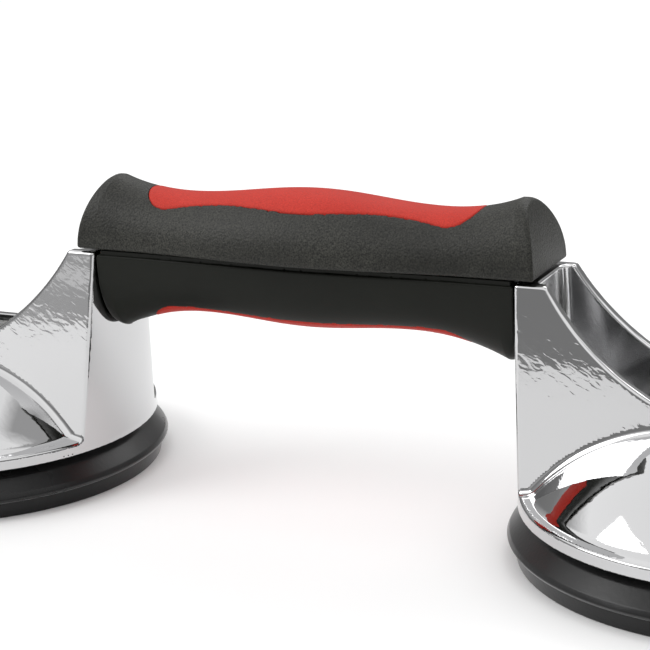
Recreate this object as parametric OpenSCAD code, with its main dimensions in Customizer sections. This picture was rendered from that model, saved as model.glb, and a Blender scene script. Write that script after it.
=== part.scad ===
// Twin vacuum lifter: two round chromed heads with rubber suction cups, each worked
// by a flip lever, joined by a carrying handle with soft inserts.
// Row frame: X along the handle, Y across it, Z up. The origin is on the working
// surface, half way between the two cups. Millimetres.

/* [Layout] */
// Distance between the two cup centres
head_spacing = 230; // [222:1:240]
// Height of the heads' bottom edge above the working surface
drum_lift = 13; // [13:0.5:15]

/* [Head casting] */
// Outer radius of the drum's wall at the bracket's top
drum_r = 57; // [56.5:0.1:57]
// How much narrower that wall is at its bottom edge
drum_taper = 0.9; // [0.5:0.1:1]
// Wall thickness of the dome and the skirt
shell_t = 3; // [2.5:0.1:3.2]
// Height of the plain band below the dome
band_h = 3.5; // [3:0.1:4]
// Rise of the dome above that band
dome_rise = 21; // [20:0.5:21.5]
// Height of the bracket's top above the drum's bottom edge
bracket_h = 55.3; // [54:0.1:56]
// Half width of the bracket at its top
bracket_top_w = 13.6; // [13.2:0.1:14]
// Half width of the bracket where it meets the band
bracket_foot_w = 20.2; // [19:0.1:21]
// Thickness of the two cheeks
cheek_t = 3.5; // [3:0.1:3.8]

/* [Handle] */
// Gap between the bracket's top and the upper grip
grip_gap = 0.9; // [0.6:0.1:1.2]
// Gap between the two grip shells
parting_gap = 1.6; // [1.2:0.1:2]
// Depth of the soft inserts
insert_t = 1.5; // [1.2:0.1:1.8]
// Half width of the core bar
core_w = 8; // [7.5:0.1:8.2]

/* [Lever and stem] */
// How far the lever turns from locked to open, degrees
lever_open = 100; // [95:1:105]
// How far the stem travels over that turn
stem_travel = 4.5; // [4:0.1:4.8]
// Radius of the stem
stem_r = 6; // [5.8:0.1:6]
// Radius of the lever's pivot pin
pin_r = 2.5; // [2.4:0.1:2.6]
// Cam height below the pin when the lever is locked
cam_h = 11.5; // [11.5:0.1:11.8]

/* [Suction cup] */
// Largest radius of the rubber cup
cup_r = 59; // [58.5:0.5:59.5]

/* [Hidden] */
fine = 128;
small = 48;
eps = 0.5;

// heights
head_x = head_spacing / 2;
band_z = drum_lift + band_h;
dome_z = band_z + dome_rise;
bracket_z = drum_lift + bracket_h;
upper_z = bracket_z + grip_gap;
lower_z = upper_z - parting_gap;
plate_z = dome_z - 0.5;
plate_t = 1.5;
plate_l = 30;
plate_w = 25;
cam_gap = 0.3;
pin_z = plate_z + plate_t + cam_gap + cam_h;
cam_rate = stem_travel / (lever_open * PI / 180);

// clearances
run_gap = 0.06;
side_gap = 0.3;

// drum and dome outline
flare = 0.3;
flare_h = 1.2;
ledge_w = 3;
dome_r = wall_r(band_z) - ledge_w;
dome_power = 3;
inner_r = wall_r(drum_lift) - shell_t;
inner_band_z = drum_lift + 0.5;
inner_rise = dome_rise - 0.5;
inner_dome_r = inner_r - 0.4;
dome_steps = 20;

// ring that bears on the rubber's shoulder
ring_r = 49;
ring_t = 3;
ring_h = 9;
shoulder_z = drum_lift + 1.2;

// bracket
end_wall_t = 6.6;
end_wall_x = end_wall_t - drum_r;
curb_h = 2.5;
curb_z = dome_z + curb_h;
curb_end = 14;
curb_round = 12;
sweep_r = 67.6;
sweep_x = 10.7;
sweep_z = bracket_z + 34.75;

// tongue behind the end wall, which is screwed into the core bar
tongue_l = 30;
tongue_w = 5;
tongue_h = 8;
tongue_z = bracket_z - 9;
bolt_r = 2.5;
bolt_hole_r = 2.7;
bolt_head_r = 4.25;
bolt_head_h = 5;
bolt_socket_r = 2.3;
bolt_foot_z = tongue_z - 3;
bolt_places = [-drum_r - 14, -drum_r - 24];

// stem, bush and spring
bush_r = 8.5;
bush_flange_r = 10.5;
bush_flange_t = 1.2;
bush_foot_z = drum_lift + 12;
boss_r = 11;
seat_r = 17;
seat_z = drum_lift + 20;
disc_r = 23.6;
disc_z = drum_lift;
disc_t = 3;
spigot_r = 4.5;
flat_w = 4;
flat_z = plate_z + plate_t - 0.5;
spring_r = 13.5;
wire_r = 1.1;
spring_turns = 4;
spring_steps = 20;
closed_share = 0.12;
wire_sides = 8;

// lever
lever_w = 12;
lever_tip = 57;
ear_gap = flat_w + side_gap;
ear_r = 7;
ear_front = stem_r + 0.8;
pin_len = lever_w + 1.6;
pin_head_r = 4;
pin_head_t = 1.6;
clip_t = 0.8;
clip_r = 4.2;
clip_mouth = 3.2;
groove_r = pin_r - 0.5;

// grips
grip_end = 64.6;
end_slope = 5;
core_end = 60;
cavity_end = 59;
screw_x = 52;
screw_r = 2;
screw_head_r = 3.8;
screw_head_h = 2.4;
screw_seat_z = drum_lift + 38.5;
screw_tip_z = upper_z + 12;
core_top = upper_z + 6.3;
core_foot = lower_z - 12.6;
grip_clear = 0.3;
core_gap = 0.1;
screw_gap = 0.2;
insert_end = 47;
insert_gap = 0.05;
insert_round = 9;
wave_len = 56;

// profiles of the two shells: waist, belly in the middle, swell towards the ends
belly_len = 52;
upper_k = 2;
upper_waist_w = 13.9;
upper_belly_w = 3.6;
upper_waist_h = 14.3;
upper_belly_h = 2.7;
upper_waist_x = 36.5;
upper_swell_h = 3;
upper_swell_len = 21;
upper_swell_x = 60;
upper_mark_w = 9.4;
upper_wave = 1.8;
lower_k = 2.6;
lower_end = 60.5;
lower_waist_w = 13.1;
lower_belly_w = 1.6;
lower_waist_h = 16;
lower_belly_h = 1.6;
lower_waist_x = 29;
lower_swell_h = 5.9;
lower_swell_len = 26.5;
lower_nose_x = 55.5;
lower_nose_len = 5.5;
lower_nose_h = 8;
lower_mark_w = 8.2;
lower_wave = 0.6;

// ---- heads: everything is drawn at the head's own centre, handle towards -X ----

module right_side() {
  translate([head_x, 0, 0]) children();
}

module left_side() {
  mirror([1, 0, 0]) right_side() children();
}

// height of a dome of radius r0 and rise h at distance r from its centre
function dome_height(r, r0, h) = h * (1 - pow(r / r0, dome_power));

function dome_points(r0, z0, h) =
  [for (i = [0:dome_steps]) let (r = r0 * sin(90 * i / dome_steps)) [r, z0 + dome_height(r, r0, h)]];

// radius of the tapered wall at height z
function wall_r(z) = drum_r - drum_taper * (bracket_z - z) / bracket_h;

// envelope of the whole casting: the flared foot and the drafted wall
module casting_wall() {
  rotate_extrude($fn = fine)
    polygon([[0, drum_lift], [wall_r(drum_lift) + flare, drum_lift],
             [wall_r(drum_lift + flare_h), drum_lift + flare_h],
             [drum_r, bracket_z], [0, bracket_z]]);
}

module drum_blank() {
  rotate_extrude($fn = fine)
    polygon(concat(
      dome_points(dome_r, band_z, dome_rise),
      [[drum_r + 1, band_z], [drum_r + 1, drum_lift - 1], [0, drum_lift - 1]]));
}

module drum_hollow() {
  rotate_extrude($fn = fine)
    polygon(concat(
      dome_points(inner_dome_r, inner_band_z, inner_rise),
      [[inner_r, inner_band_z], [inner_r, drum_lift - eps], [0, drum_lift - eps]]));
}

// half width of the bracket's outer faces at height z
function bracket_w(z) =
  bracket_top_w + (bracket_foot_w - bracket_top_w) * (bracket_z - z) / (bracket_z - band_z);

// wedge between the two drafted planes, from x0 to x1, set in by t
module wedge(x0, x1, z0, z1, t) {
  translate([x0, 0, 0]) rotate([90, 0, 90])
    linear_extrude(x1 - x0)
      polygon([[-bracket_w(z0) + t, z0], [bracket_w(z0) - t, z0],
               [bracket_w(z1) - t, z1], [-bracket_w(z1) + t, z1]]);
}

// side view of the bracket: straight top, a concave sweep, a low curb round the cam
module bracket_side() {
  a0 = asin((curb_z - sweep_z) / sweep_r);
  a1 = asin((bracket_z - sweep_z) / sweep_r);
  steps = 24;
  rotate([90, 0, 0]) linear_extrude(2 * bracket_foot_w + 4, center = true)
    polygon(concat(
      [[-drum_r - 1, drum_lift], [-drum_r - 1, bracket_z]],
      [for (i = [0:steps]) let (a = a1 + (a0 - a1) * i / steps)
        [sweep_x - sweep_r * cos(a), sweep_z + sweep_r * sin(a)]],
      [for (a = [0:10:70])
        [curb_end + curb_round * sin(a), curb_z - curb_round + curb_round * cos(a)]],
      [[curb_end + curb_round, drum_lift]]));
}

module bracket() {
  difference() {
    intersection() {
      wedge(-drum_r - 1, drum_r, drum_lift, bracket_z, 0);
      bracket_side();
    }
    wedge(end_wall_x, drum_r + 1, drum_lift - 1, bracket_z + 1, cheek_t);
  }
}

// ring inside the skirt that bears on the rubber's shoulder
module shoulder_ring() {
  translate([0, 0, shoulder_z]) difference() {
    cylinder(r = ring_r, h = ring_h, $fn = fine);
    translate([0, 0, -eps]) cylinder(r = ring_r - ring_t, h = ring_h + 2 * eps, $fn = fine);
  }
}

// tongue that the handle is fixed to
module tongue() {
  translate([-drum_r - tongue_l, -tongue_w, tongue_z]) cube([tongue_l + 2, 2 * tongue_w, tongue_h]);
}

// blank of the saddle plate and of its seat in the dome
module plate_blank(h) {
  translate([-plate_l / 2, -plate_w / 2, plate_z]) cube([plate_l, plate_w, h]);
}

module head_housing() {
  color("silver") difference() {
    union() {
      difference() {
        intersection() {
          casting_wall();
          union() {
            drum_blank();
            bracket();
          }
        }
        drum_hollow();
      }
      tongue();
      shoulder_ring();
      translate([0, 0, seat_z]) cylinder(r = seat_r, h = plate_z - seat_z, $fn = small);
      translate([0, 0, bush_foot_z]) cylinder(r = boss_r, h = plate_z - bush_foot_z, $fn = small);
    }
    translate([0, 0, bush_foot_z - eps]) cylinder(r = bush_r, h = bracket_h, $fn = small);
    translate([0, 0, plate_z - bush_flange_t])
      cylinder(r = bush_flange_r, h = 2 * bush_flange_t, $fn = small);
    plate_blank(curb_h + 2 * eps);
    for (x = bolt_places) translate([x, 0, tongue_z - eps])
      cylinder(r = bolt_hole_r, h = tongue_h + 2 * eps, $fn = small);
    translate([screw_x - head_x, 0, tongue_z - eps])
      cylinder(r = screw_r + screw_gap, h = tongue_h + 2 * eps, $fn = small);
  }
}

// two socket screws down through the core bar and the tongue
module bracket_bolts() {
  color("dimgray") for (x = bolt_places) translate([x, 0, bolt_foot_z]) difference() {
    union() {
      cylinder(r = bolt_r, h = core_top - bolt_foot_z, $fn = small);
      translate([0, 0, core_top - bolt_head_h - bolt_foot_z])
        cylinder(r = bolt_head_r, h = bolt_head_h, $fn = small);
    }
    translate([0, 0, core_top - bolt_head_h / 2 - bolt_foot_z])
      cylinder(r = bolt_socket_r, h = bolt_head_h, $fn = 6);
  }
}

module guide_bush() {
  color("ivory") difference() {
    union() {
      translate([0, 0, bush_foot_z]) cylinder(r = bush_r, h = plate_z - bush_foot_z, $fn = small);
      translate([0, 0, plate_z - bush_flange_t])
        cylinder(r = bush_flange_r, h = bush_flange_t, $fn = small);
    }
    translate([0, 0, bush_foot_z - eps])
      cylinder(r = stem_r + run_gap, h = plate_z - bush_foot_z + 2 * eps, $fn = small);
  }
}

// steel saddle that the cam slides on
module wear_plate() {
  color("lightgray") difference() {
    plate_blank(plate_t);
    translate([0, 0, plate_z - eps]) cylinder(r = stem_r + 1, h = plate_t + 2 * eps, $fn = small);
  }
}

// one moulding: sealing lip, flared skirt, shoulder and a pocket for the core plate
module rubber_cup() {
  lip = cup_r - 2.4;
  pocket = disc_r + 0.4;
  color("dimgray") rotate_extrude($fn = fine)
    polygon([
      [lip, 0], [lip + 0.7, 4.4], [cup_r - 0.6, 4.9], [cup_r, 5.6], [cup_r - 0.4, 6.4],
      [54.5, 10.2], [51.5, drum_lift - 0.8], [50.5, shoulder_z], [45, shoulder_z],
      [41, drum_lift + 0.6], [32, drum_lift + 1.6], [26, drum_lift + 2.6],
      [25.2, disc_z + disc_t], [pocket, disc_z + disc_t], [pocket, disc_z], [0, disc_z],
      [0, 6.5], [26, 6.3], [38, 4.9], [47, 2.6], [52, 0.8], [53.4, 0]]);
}

module core_plate() {
  color("silver") difference() {
    translate([0, 0, disc_z]) cylinder(r = disc_r, h = disc_t, $fn = fine);
    translate([0, 0, disc_z - eps]) cylinder(r = spigot_r, h = disc_t + 2 * eps, $fn = small);
  }
}

// round draw stem with two flats and a cross hole for the lever's pin
module stem() {
  round_h = pin_z - disc_z - disc_t;
  color("silver") difference() {
    union() {
      translate([0, 0, disc_z]) cylinder(r = spigot_r, h = disc_t + eps, $fn = small);
      translate([0, 0, disc_z + disc_t]) cylinder(r = stem_r, h = round_h, $fn = small);
      intersection() {
        translate([0, 0, pin_z]) rotate([90, 0, 0])
          cylinder(r = stem_r, h = 4 * flat_w, center = true, $fn = small);
        translate([0, 0, pin_z - 1]) cylinder(r = stem_r, h = stem_r + 2, $fn = small);
      }
    }
    for (s = [0, 180]) rotate([0, 0, s])
      translate([-stem_r - 1, flat_w, flat_z]) cube([2 * stem_r + 2, stem_r, 30]);
    translate([0, 0, pin_z]) rotate([90, 0, 0])
      cylinder(r = pin_r + run_gap, h = 4 * flat_w, center = true, $fn = small);
  }
}

// compression spring between the core plate and the seat under the dome
function spring_path(i, z0, pitch_h) =
  let (t = i / (spring_turns * spring_steps), a = 360 * spring_turns * t,
       rise = min(1, max(0, (t - closed_share) / (1 - 2 * closed_share))))
  [spring_r * cos(a), spring_r * sin(a), z0 + pitch_h * rise + 2 * wire_r * t, a];

module return_spring() {
  z0 = disc_z + disc_t + wire_r + 0.1;
  span = seat_z - 0.1 - 3 * wire_r - z0;
  count = spring_turns * spring_steps;
  rings = [for (i = [0:count]) let (p = spring_path(i, z0, span))
    [for (j = [0:wire_sides - 1]) let (b = 360 * j / wire_sides)
      [p[0] + wire_r * cos(b) * cos(p[3]), p[1] + wire_r * cos(b) * sin(p[3]),
       p[2] + wire_r * sin(b)]]];
  color("gray") loft(rings, true);
}

// ---- lever: pin axis at the local origin, arm towards +X ----

// cam point whose outward normal meets the plate when the lever stands at angle a
function cam_point(a) =
  let (h = cam_h - cam_rate * a * PI / 180)
  [-h * sin(a) + cam_rate * cos(a), -h * cos(a) - cam_rate * sin(a)];

module lever_side() {
  arm_r = 82;
  arm_x = 0.5;
  arm_z = ear_r - arm_r;
  tip_a = asin((lever_tip - arm_x) / arm_r);
  linear_extrude(2 * lever_w, center = true)
    polygon(concat(
      [for (a = [0:5:lever_open]) cam_point(a)],
      [for (a = [lever_open:10:175]) [-ear_r * sin(a), -ear_r * cos(a)]],
      [for (a = [0:tip_a / 14:tip_a]) [arm_x + arm_r * sin(a), arm_z + arm_r * cos(a)]],
      [[lever_tip + 0.3, -16.2], [lever_tip - 3, -16.8], [44, -13.6], [30, -11.6],
       [16, -10.4], [8, -11]]));
}

// plan view of the lever: straight sides and a round tip
module lever_plan() {
  translate([-lever_w, -lever_w]) square([lever_tip, 2 * lever_w]);
  translate([lever_tip - lever_w, 0]) circle(r = lever_w, $fn = small);
}

module lever() {
  skin = 3.5;
  color("black") translate([0, 0, pin_z]) difference() {
    intersection() {
      rotate([90, 0, 0]) lever_side();
      translate([0, 0, -lever_tip]) linear_extrude(2 * lever_tip) lever_plan();
    }
    translate([-lever_tip, -ear_gap, -lever_tip])
      cube([lever_tip + ear_front, 2 * ear_gap, 2 * lever_tip]);
    rotate([90, 0, 0]) cylinder(r = pin_r, h = 2 * pin_len, center = true, $fn = small);
    rotate([90, 0, 0]) linear_extrude(2 * (lever_w - skin), center = true)
      polygon([[17, -20], [17, 0.5], [30, -3.5], [42, -9.5], [48, -20]]);
  }
}

module lever_pin() {
  color("silver") translate([0, 0, pin_z]) rotate([90, 0, 0]) difference() {
    union() {
      translate([0, 0, -pin_len]) cylinder(r = pin_r, h = lever_w + pin_len, $fn = small);
      translate([0, 0, lever_w]) cylinder(r = pin_head_r, h = pin_head_t, $fn = small);
    }
    translate([0, 0, -lever_w - clip_t]) difference() {
      cylinder(r = pin_r + 1, h = clip_t, $fn = small);
      translate([0, 0, -eps]) cylinder(r = groove_r, h = clip_t + 2 * eps, $fn = small);
    }
  }
}

module pin_clip() {
  color("dimgray") translate([0, lever_w, pin_z]) rotate([-90, 0, 0]) difference() {
    cylinder(r = clip_r, h = clip_t, $fn = small);
    translate([0, 0, -eps]) cylinder(r = groove_r, h = clip_t + 2 * eps, $fn = small);
    translate([-clip_mouth / 2, -2 * clip_r, -eps]) cube([clip_mouth, 2 * clip_r, clip_t + 2 * eps]);
  }
}

// ---- handle ----

// closed solid through a list of rings with equal point counts; the end caps join
// each ring's two halves, or fan out when the rings go round a wire
module loft(rings, fan = false) {
  n = len(rings[0]);
  m = len(rings);
  half = floor(n / 2);
  points = [for (r = rings, p = r) p];
  last = (m - 1) * n;
  sides = [for (i = [0:m - 2], j = [0:n - 1]) let (k = (j + 1) % n)
    each [[i * n + j, (i + 1) * n + k, i * n + k], [i * n + j, (i + 1) * n + j, (i + 1) * n + k]]];
  strips = [for (j = [0:half - 1]) let (a = j, b = j + 1, c = n - 2 - j, d = n - 1 - j)
    each (b < c ? [[a, b, c], [a, c, d]] : b == c ? [[a, b, d]] : [])];
  caps = fan ? [for (j = [1:n - 2]) [0, j, j + 1]] : strips;
  polyhedron(points = points, faces = concat(
    sides, caps, [for (f = caps) [f[2] + last, f[1] + last, f[0] + last]]));
}

// smooth bump: 1 at t = 0, falling to 0 at t = 1
function bump(t) = t < 1 ? 0.5 + 0.5 * cos(180 * t) : 0;

function upper_w(x) = upper_waist_w + upper_belly_w * bump(abs(x) / belly_len);
function upper_h(x) =
  let (swell = max(0, min(upper_swell_x, abs(x)) - upper_waist_x) / upper_swell_len)
  upper_waist_h + upper_belly_h * bump(abs(x) / upper_waist_x)
  + upper_swell_h * pow(swell, 2);
function lower_w(x) = lower_waist_w + lower_belly_w * bump(abs(x) / belly_len);
function lower_h(x) =
  let (swell = min(1, max(0, abs(x) - lower_waist_x) / lower_swell_len),
       nose = max(0, abs(x) - lower_nose_x) / lower_nose_len)
  lower_waist_h + lower_belly_h * bump(abs(x) / lower_waist_x)
  + lower_swell_h * pow(swell, 2.2) - lower_nose_h * (1 - sqrt(max(0, 1 - nose * nose)));

// half width of a soft insert: a wavy outline with rounded ends
function insert_w(x, mean, wave) =
  let (t = max(0, abs(x) - insert_end + insert_round) / (insert_round + 0.6))
  (mean + wave * cos(360 * x / wave_len)) * sqrt(max(0, 1 - t * t));

// point on a rounded section: half width w, height h, roundness k
function section(a, w, h, k) =
  [-w * sign(cos(a)) * pow(abs(cos(a)), 2 / k), h * pow(sin(a), 2 / k)];

// angle on that section where its half width is y
function section_angle(y, w, k) = acos(pow(min(y / w, 0.999), k / 2));

edge_points = 7;
floor_points = 11;
step_a = 1.4;

// ring of a grip shell with its recess of depth d; up is 1 or -1
function grip_ring(x, w, h, k, y, d, up, z0, slope) =
  let (a = section_angle(y, w, k), b = a + step_a,
       edge = [for (i = [0:edge_points - 1]) section(a * i / (edge_points - 1), w, h, k)],
       base = [for (i = [0:floor_points - 1])
         section(b + (180 - 2 * b) * i / (floor_points - 1), w - d, h - d, k)],
       back = [for (i = [0:edge_points - 1]) section(180 - a + a * i / (edge_points - 1), w, h, k)],
       ring = concat(edge, base, back))
  [for (p = ring) [slant(x, p[1] / h, slope), p[0], z0 + up * p[1]]];

// ring of a soft insert that fills that recess
function insert_ring(x, w, h, k, y, d, up, z0, slope) =
  let (a = section_angle(y, w, k) + 0.5, b = a + step_a,
       top = [for (i = [0:floor_points - 1])
         section(a + (180 - 2 * a) * i / (floor_points - 1), w, h, k)],
       base = [for (i = [floor_points - 1:-1:0])
         section(b + (180 - 2 * b) * i / (floor_points - 1), w - d + insert_gap, h - d + insert_gap, k)],
       ring = concat(top, base))
  [for (p = ring) [slant(x, p[1] / h, slope), p[0], z0 + up * p[1]]];

// the grip's end faces lean in towards their tops
function slant(x, t, slope) = x - sign(x) * slope * t * t * pow(abs(x) / grip_end, 6);

// stations along the handle, closer together where the insert's ends are round
function half_stations(end) =
  concat([0, 5, 10, 15, 20, 25, 30, 34, 38, 41, 43.5, 45.3, 46.4, insert_end + 0.2],
         [insert_end + 0.6, 50, 53, 55.5, 57.5, 59.2, end]);
function mirrored(half) = concat([for (i = [len(half) - 1:-1:1]) -half[i]], half);
insert_stations = mirrored([0, 5, 10, 15, 20, 25, 30, 34, 38, 41, 43.5, 45.3, 46.4, insert_end]);

function recess(x) = abs(x) < insert_end + 0.4 ? insert_t : 0;
function mark(x, mean, wave) = max(1.5, insert_w(min(abs(x), insert_end), mean, wave));

// upper shell with its cavity for the core bar
module upper_shell() {
  difference() {
    loft([for (x = mirrored(half_stations(grip_end)))
      grip_ring(x, upper_w(x), upper_h(x), upper_k, mark(x, upper_mark_w, upper_wave),
                recess(x), 1, upper_z, end_slope)]);
    translate([-cavity_end, -core_w - core_gap, upper_z - 1])
      cube([2 * cavity_end, 2 * (core_w + core_gap), core_top - upper_z + 1]);
  }
}

module upper_grip() {
  color("#2b2b28") difference() {
    upper_shell();
    for (x = [-screw_x, screw_x]) translate([x, 0, core_top - eps])
      cylinder(r = screw_r, h = screw_tip_z - core_top + 2 * eps, $fn = small);
  }
}

module upper_grip_insert() {
  color("#d2463c") loft([for (x = insert_stations)
    insert_ring(x, upper_w(x), upper_h(x), upper_k, mark(x, upper_mark_w, upper_wave),
                insert_t, 1, upper_z, end_slope)]);
}

module lower_grip() {
  color("#23241f") difference() {
    loft([for (x = mirrored(half_stations(lower_end)))
      grip_ring(x, lower_w(x), lower_h(x), lower_k, mark(x, lower_mark_w, lower_wave),
                recess(x), -1, lower_z, 0)]);
    for (s = [-1, 1]) translate([s * head_x, 0, drum_lift])
      cylinder(r1 = wall_r(drum_lift) + grip_clear, r2 = drum_r + grip_clear, h = bracket_h,
               $fn = fine);
    translate([-core_end, -core_w - core_gap, core_foot])
      cube([2 * core_end, 2 * (core_w + core_gap), bracket_h]);
    for (x = [-screw_x, screw_x]) translate([x, 0, 0]) {
      cylinder(r = screw_r + screw_gap, h = lower_z + 1, $fn = small);
      cylinder(r = screw_head_r + 2 * screw_gap, h = screw_seat_z, $fn = small);
    }
  }
}

module lower_grip_insert() {
  color("#a8403c") loft([for (x = insert_stations)
    insert_ring(x, lower_w(x), lower_h(x), lower_k, mark(x, lower_mark_w, lower_wave),
                insert_t, -1, lower_z, 0)]);
}

// bar that carries the load from head to head, with a socket for each head's tongue
module handle_core() {
  socket_x = head_x - drum_r - tongue_l - core_gap;
  color("gray") difference() {
    translate([-core_end, -core_w, core_foot])
      cube([2 * core_end, 2 * core_w, core_top - core_foot]);
    for (m = [0, 1]) mirror([m, 0, 0]) {
      translate([head_x, 0, 0]) cylinder(r = drum_r, h = 2 * bracket_z, $fn = fine);
      translate([socket_x, -tongue_w - core_gap, tongue_z - core_gap])
        cube([core_end, 2 * (tongue_w + core_gap), tongue_h + 2 * core_gap]);
      for (x = bolt_places) translate([head_x + x, 0, 0]) {
        translate([0, 0, bolt_foot_z]) cylinder(r = bolt_r, h = tongue_h, $fn = small);
        translate([0, 0, tongue_z]) cylinder(r = bolt_hole_r, h = bracket_h, $fn = small);
        translate([0, 0, core_top - bolt_head_h])
          cylinder(r = bolt_head_r + screw_gap, h = 2 * bolt_head_h, $fn = small);
      }
      translate([screw_x, 0, 0]) cylinder(r = screw_r + screw_gap, h = 2 * bracket_z, $fn = small);
    }
  }
}

module grip_screws() {
  color("silver") for (x = [-screw_x, screw_x]) translate([x, 0, 0]) difference() {
    union() {
      translate([0, 0, screw_seat_z]) cylinder(r = screw_r, h = screw_tip_z - screw_seat_z, $fn = small);
      translate([0, 0, screw_seat_z - screw_head_h])
        cylinder(r = screw_head_r, h = screw_head_h, $fn = small);
    }
    translate([0, 0, screw_seat_z - screw_head_h - eps]) cylinder(r = 1.8, h = 1.8, $fn = 6);
  }
}

handle_core();
upper_grip();
upper_grip_insert();
lower_grip();
lower_grip_insert();
grip_screws();
left_side() head_housing();  // left_head_housing
left_side() bracket_bolts();  // left_bracket_bolts
left_side() guide_bush();  // left_guide_bush
left_side() wear_plate();  // left_wear_plate
left_side() rubber_cup();  // left_rubber_cup
left_side() core_plate();  // left_core_plate
left_side() stem();  // left_stem
left_side() return_spring();  // left_return_spring
left_side() lever();  // left_lever
left_side() lever_pin();  // left_lever_pin
left_side() pin_clip();  // left_pin_clip
right_side() head_housing();  // right_head_housing
right_side() bracket_bolts();  // right_bracket_bolts
right_side() guide_bush();  // right_guide_bush
right_side() wear_plate();  // right_wear_plate
right_side() rubber_cup();  // right_rubber_cup
right_side() core_plate();  // right_core_plate
right_side() stem();  // right_stem
right_side() return_spring();  // right_return_spring
right_side() lever();  // right_lever
right_side() lever_pin();  // right_lever_pin
right_side() pin_clip();  // right_pin_clip
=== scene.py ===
"""Looks of the twin-cup vacuum lifter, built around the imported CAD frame.

Blender works in metres. The shapes that are written as fields work in millimetres:
a field is negative inside the solid, zero on its surface and positive outside.
"""
import math

import bpy
import numpy as np
from mathutils import Matrix, Vector


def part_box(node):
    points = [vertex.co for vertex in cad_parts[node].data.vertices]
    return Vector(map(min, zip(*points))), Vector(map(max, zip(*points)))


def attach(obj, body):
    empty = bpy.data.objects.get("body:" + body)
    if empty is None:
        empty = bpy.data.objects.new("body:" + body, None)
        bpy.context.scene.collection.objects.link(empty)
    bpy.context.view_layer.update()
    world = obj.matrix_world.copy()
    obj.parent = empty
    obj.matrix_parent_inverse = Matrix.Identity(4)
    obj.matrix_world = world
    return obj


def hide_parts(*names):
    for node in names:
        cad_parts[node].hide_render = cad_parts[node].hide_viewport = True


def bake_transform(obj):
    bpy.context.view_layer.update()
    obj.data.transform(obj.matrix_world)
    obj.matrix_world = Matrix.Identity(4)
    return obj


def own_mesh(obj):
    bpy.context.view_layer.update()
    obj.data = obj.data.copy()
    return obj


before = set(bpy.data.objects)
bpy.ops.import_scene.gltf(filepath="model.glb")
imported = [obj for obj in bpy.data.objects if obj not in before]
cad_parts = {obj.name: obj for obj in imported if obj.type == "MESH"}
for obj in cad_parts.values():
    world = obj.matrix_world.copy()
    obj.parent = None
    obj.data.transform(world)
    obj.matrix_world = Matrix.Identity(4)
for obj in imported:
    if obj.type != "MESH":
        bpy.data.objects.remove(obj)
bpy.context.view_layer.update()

MM = 0.001
SIDES = {"left": -1, "right": 1}


# ---------------------------------------------------------------- sizes, in millimetres

def box_mm(node):
    """Lowest and highest corner of a CAD node, in millimetres."""
    low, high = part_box(node)
    return low / MM, high / MM


housing_low, housing_high = box_mm("right_head_housing")
cup_low, cup_high = box_mm("right_rubber_cup")
upper_low, upper_high = box_mm("upper_grip")
lower_low, lower_high = box_mm("lower_grip")
plate_low, plate_high = box_mm("right_wear_plate")
pin_low, pin_high = box_mm("right_lever_pin")
spring_low, spring_high = box_mm("right_return_spring")
stem_low = box_mm("right_stem")[0]

# the drum's wall is widest at the bracket's top, narrows by TAPER downwards and ends in a small FLARE
HEAD_X = (cup_low.x + cup_high.x) / 2
FLARE = 0.3
FLARE_H = 2
TAPER = 0.9
DRUM_R = (housing_high.y - housing_low.y) / 2 - FLARE + TAPER
DRUM_Z = housing_low.z
BRACKET_Z = housing_high.z
PLATE_Z = plate_low.z
PLATE_TOP = plate_high.z
PIN_Z = (pin_low.z + pin_high.z) / 2
UPPER_Z = upper_low.z
LOWER_Z = lower_high.z
GRIP_END = upper_high.x
CUP_R = (cup_high.y - cup_low.y) / 2

# dome, and the hollow under it
LEDGE_Z = DRUM_Z + 3.4
LEDGE_SLOPE = 0.2
DOME_R = DRUM_R - TAPER - 3
DOME_FOOT = DRUM_Z + 3.8
DOME_RISE = 20.7
INNER_R = DRUM_R - TAPER - 3
INNER_FOOT = DRUM_Z + 0.5
INNER_RISE = 20.5

# bracket: two drafted cheeks, an end wall, a concave sweep and a low curb round the cam
BRACKET_TOP_W = 13.6
DRAFT = 6.6 / 51.8
CHEEK_T = 3.5
END_WALL_X = 6.6 - DRUM_R
SWEEP_R = 67.6
SWEEP_X = 10.7
SWEEP_Z = BRACKET_Z + 34.75
CURB_Z = PLATE_Z + 3
CURB_END = 26
CURB_R = 12

# edges and fillets
EDGE_R = 0.9
FILLET_R = 1.5
FOOT_SPREAD = 0.13
FOOT_REACH = 2.2
CORNER_R = 2.2
LEDGE_R = 0.7
FOOT_R = 0.6

# inside the head: stiffening ring, boss round the bush, spring seat and the wear plate's pocket
RING_MID = 47.5
RING_T = 3
RING_Z = DRUM_Z + 1.2
BUSH_R = 8.5
BOSS_R = 11
BOSS_Z = DRUM_Z + 12
SEAT_R = 17
SEAT_Z = DRUM_Z + 20
SADDLE_L = 15.2
SADDLE_W = 12.7

# tongue that enters the handle
TONGUE_L = 30
TONGUE_W = 5
TONGUE_Z = BRACKET_Z - 9
TONGUE_H = 8
BOLT_HOLE_R = 2.7
BOLT_PLACES = (-DRUM_R - 14, -DRUM_R - 24)


def channel_width(z):
    """Half width of the lever's channel at height z."""
    return BRACKET_TOP_W - CHEEK_T + DRAFT * (BRACKET_Z - z)


# ---------------------------------------------------------------- camera

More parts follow.
